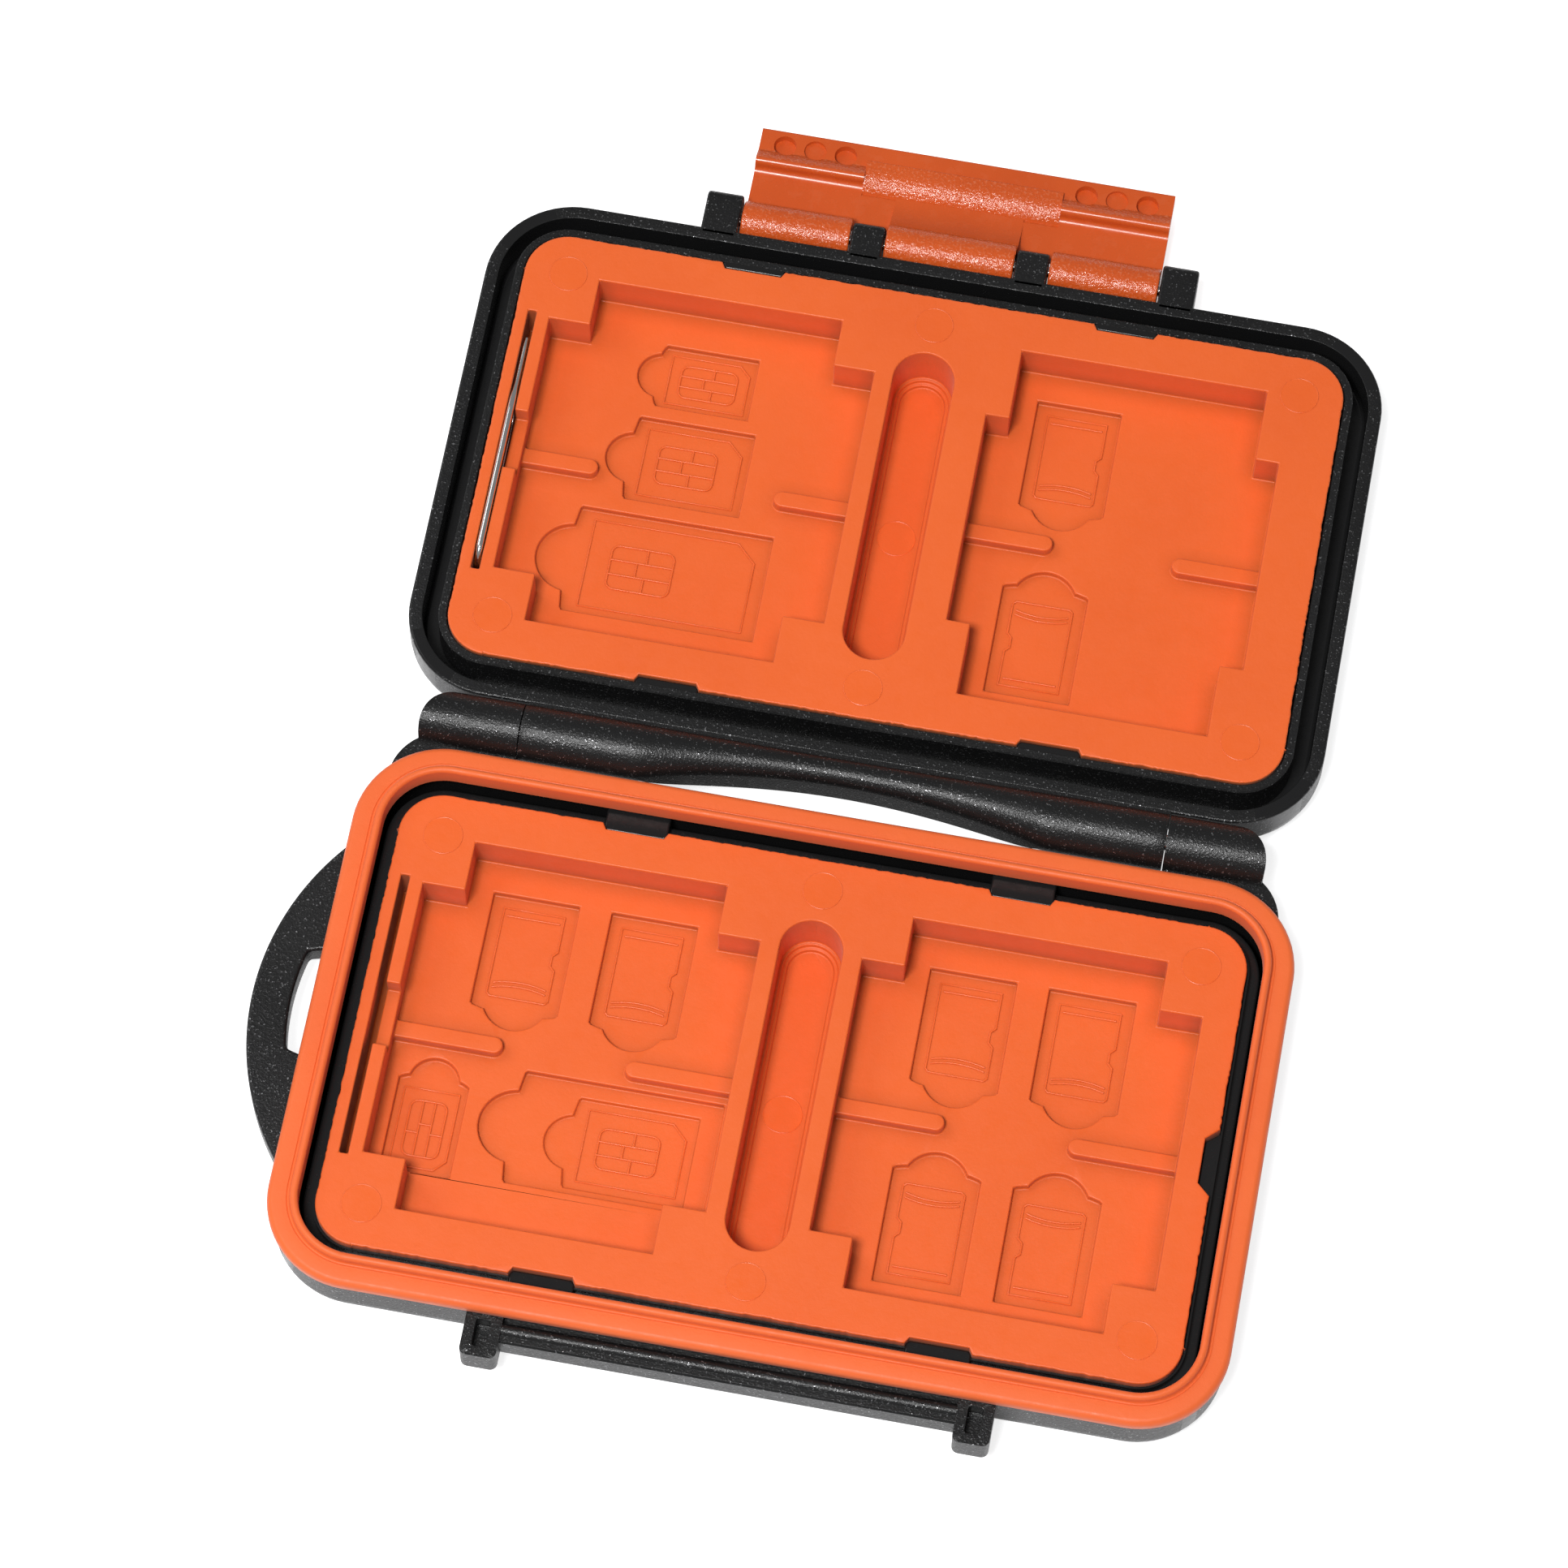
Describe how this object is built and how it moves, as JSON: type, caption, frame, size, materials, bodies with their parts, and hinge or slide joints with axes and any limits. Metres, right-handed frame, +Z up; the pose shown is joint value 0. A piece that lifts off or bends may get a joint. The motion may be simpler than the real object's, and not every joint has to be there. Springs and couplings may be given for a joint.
{
  "type": "memory card case",
  "caption": "Hinged hard case for memory cards, lying open: two shells with soft card trays, a raised gasket, a wide snap latch and a strap lug.",
  "frame": {"origin": "middle of the body half's flat underside", "axes": "+X along the hinge, +Y from the body half to the lid half, +Z up"},
  "size_m": [0.1276, 0.1768, 0.015],
  "materials": {
    "shell_black": "fine-grained black ABS, smoother on the inner walls",
    "tray_orange": "soft matte silicone rubber",
    "gasket_orange": "soft satin silicone rubber",
    "latch_orange": "semi-gloss ABS, pebbled on the knuckles and the wedge",
    "steel": "bright drawn wire"
  },
  "bodies": {
    "body": {"body_shell": "shell_black", "gasket": "gasket_orange", "body_tray": "tray_orange", "hinge_pin_left": "steel", "hinge_pin_right": "steel"},
    "lid": {"lid_shell": "shell_black", "lid_tray": "tray_orange", "latch_pin": "steel"},
    "latch": {"latch": "latch_orange"},
    "sim_pin": {"sim_pin": "steel"}
  },
  "joints": [
    {"name": "lid_hinge", "type": "hinge", "parent": "body", "child": "lid", "pos_m": [0, 0.0406, 0.0114], "axis": [1, 0, 0], "range_deg": [0, 180]},
    {"name": "latch_pivot", "type": "hinge", "parent": "lid", "child": "latch", "pos_m": [0, 0.12, 0.007], "axis": [1, 0, 0], "range_deg": [0, 90]},
    {"name": "sim_pin_lift", "type": "slide", "parent": "lid", "child": "sim_pin", "axis": [0, 0, 1], "range_m": [0, 0.06]}
  ]
}
